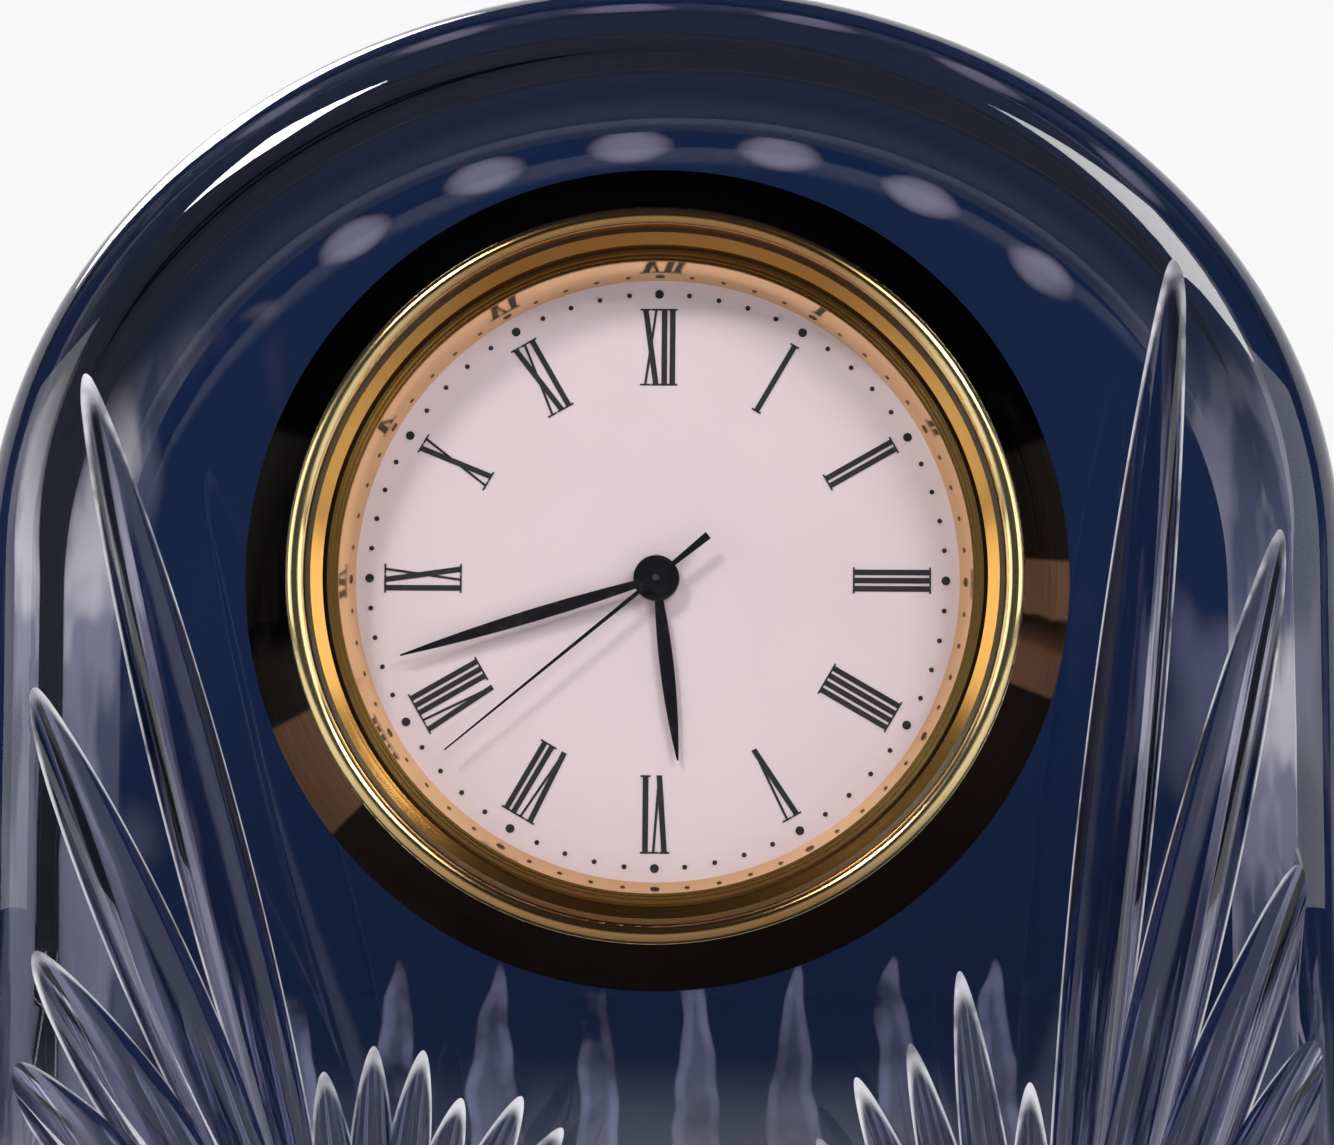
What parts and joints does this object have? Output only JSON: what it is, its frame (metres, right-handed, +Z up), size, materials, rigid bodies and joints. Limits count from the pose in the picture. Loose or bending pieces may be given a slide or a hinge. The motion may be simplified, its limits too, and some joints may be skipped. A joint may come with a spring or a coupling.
{
  "type": "beehive shelf clock",
  "caption": "Small arch-topped shelf clock: a block of cut crystal with fans of leaf cuts holds a round gold-bezelled quartz insert with a white dial and black hands.",
  "frame": {"origin": "under the middle of the clock, on the surface it stands on", "axes": "+Z up, the dial faces -Y, +X to the right as seen from the front"},
  "size_m": [0.084, 0.0418, 0.092],
  "materials": {
    "crystal": "polished cut lead crystal, deep blue tone",
    "gold_plate": "polished gold plate",
    "gilt_wall": "polished pale gilt",
    "lens_glass": "clear mineral glass",
    "gasket_white": "plain nylon",
    "dial_white": "satin white lacquer",
    "print_black": "printed ink",
    "hand_black": "gloss black lacquer",
    "frame_plastic": "moulded black",
    "plate_plastic": "moulded grey",
    "gear_white": "moulded acetal",
    "motion_brass": "turned and cut",
    "steel": "bright steel",
    "soft_iron": "annealed sheet",
    "copper_wire": "enamelled copper winding",
    "board_green": "solder mask",
    "chip_black": "moulded resin",
    "case_steel": "drawn and brushed",
    "rubber_black": "soft ribbed rubber",
    "cover_black": "fine moulded grain",
    "knob_white": "moulded white"
  },
  "bodies": {
    "block": {"crystal_block": "crystal"},
    "insert": {"bezel": "gold_plate", "lens": "lens_glass", "lens_gasket": "gasket_white", "reflector_ring": "gilt_wall", "dial": "dial_white", "dial_numerals": "print_black", "minute_dots": "print_black", "dial_spacer_ring": "frame_plastic", "main_plate": "plate_plastic", "movement_ring": "frame_plastic", "train_bridge": "plate_plastic", "bridge_screws": "steel", "stator": "soft_iron", "coil_core": "soft_iron", "coil_bobbin": "frame_plastic", "coil_winding": "copper_wire", "circuit_board": "board_green", "circuit_chip": "chip_black", "quartz_can": "steel", "button_cell": "case_steel", "negative_contact": "steel", "positive_contact": "steel", "insert_case": "case_steel", "grip_sleeve": "rubber_black", "back_cover": "cover_black"},
    "hours": {"hour_wheel": "motion_brass", "hour_hand": "hand_black"},
    "minutes": {"cannon_pinion": "motion_brass", "minute_hand": "hand_black"},
    "minute_gear": {"minute_wheel": "gear_white"},
    "setting": {"setting_stem": "steel", "setting_knob": "knob_white"},
    "centre_gear": {"centre_wheel": "gear_white"},
    "third_gear": {"third_wheel": "gear_white"},
    "seconds": {"second_wheel": "gear_white", "second_hand": "hand_black"},
    "intermediate_gear": {"intermediate_wheel": "gear_white"},
    "motor_rotor": {"rotor": "soft_iron"},
    "hatch": {"battery_hatch": "cover_black"}
  },
  "joints": [
    {"name": "insert_slide", "type": "slide", "parent": "block", "child": "insert", "axis": [0, -1, 0], "range_m": [0, 0.02]},
    {"name": "minute_hand_turn", "type": "hinge", "parent": "insert", "child": "minutes", "pos_m": [0, -0.0171, 0.0544], "axis": [0, 1, 0], "continuous": true},
    {"name": "hour_hand_turn", "type": "hinge", "parent": "insert", "child": "hours", "pos_m": [0, -0.0171, 0.0544], "axis": [0, 1, 0], "continuous": true},
    {"name": "minute_wheel_turn", "type": "hinge", "parent": "insert", "child": "minute_gear", "pos_m": [0.00509, -0.0171, 0.05758], "axis": [0, 1, 0], "continuous": true},
    {"name": "setting_knob_turn", "type": "hinge", "parent": "insert", "child": "setting", "pos_m": [0.01018, -0.0171, 0.06076], "axis": [0, 1, 0], "continuous": true},
    {"name": "second_hand_turn", "type": "hinge", "parent": "insert", "child": "seconds", "pos_m": [0, -0.0171, 0.0544], "axis": [0, 1, 0], "continuous": true},
    {"name": "third_wheel_turn", "type": "hinge", "parent": "insert", "child": "third_gear", "pos_m": [0.0053, -0.0171, 0.05134], "axis": [0, 1, 0], "continuous": true},
    {"name": "centre_wheel_turn", "type": "hinge", "parent": "insert", "child": "centre_gear", "pos_m": [0, -0.0171, 0.0544], "axis": [0, 1, 0], "continuous": true},
    {"name": "intermediate_wheel_turn", "type": "hinge", "parent": "insert", "child": "intermediate_gear", "pos_m": [-0.00561, -0.0171, 0.05116], "axis": [0, 1, 0], "continuous": true},
    {"name": "rotor_turn", "type": "hinge", "parent": "insert", "child": "motor_rotor", "pos_m": [-0.00561, -0.0171, 0.04486], "axis": [0, 1, 0], "continuous": true},
    {"name": "battery_hatch_turn", "type": "hinge", "parent": "insert", "child": "hatch", "pos_m": [0, -0.0051, 0.0662], "axis": [0, 1, 0], "range_deg": [0, 45]}
  ],
  "couplings": [
    {"joint": "hour_hand_turn", "follows": "minute_hand_turn", "ratio": 0.083333},
    {"joint": "minute_wheel_turn", "follows": "minute_hand_turn", "ratio": -0.33333},
    {"joint": "setting_knob_turn", "follows": "minute_hand_turn", "ratio": 1},
    {"joint": "third_wheel_turn", "follows": "second_hand_turn", "ratio": -0.13333},
    {"joint": "centre_wheel_turn", "follows": "second_hand_turn", "ratio": 0.016667},
    {"joint": "intermediate_wheel_turn", "follows": "second_hand_turn", "ratio": -5},
    {"joint": "rotor_turn", "follows": "second_hand_turn", "ratio": 30}
  ]
}
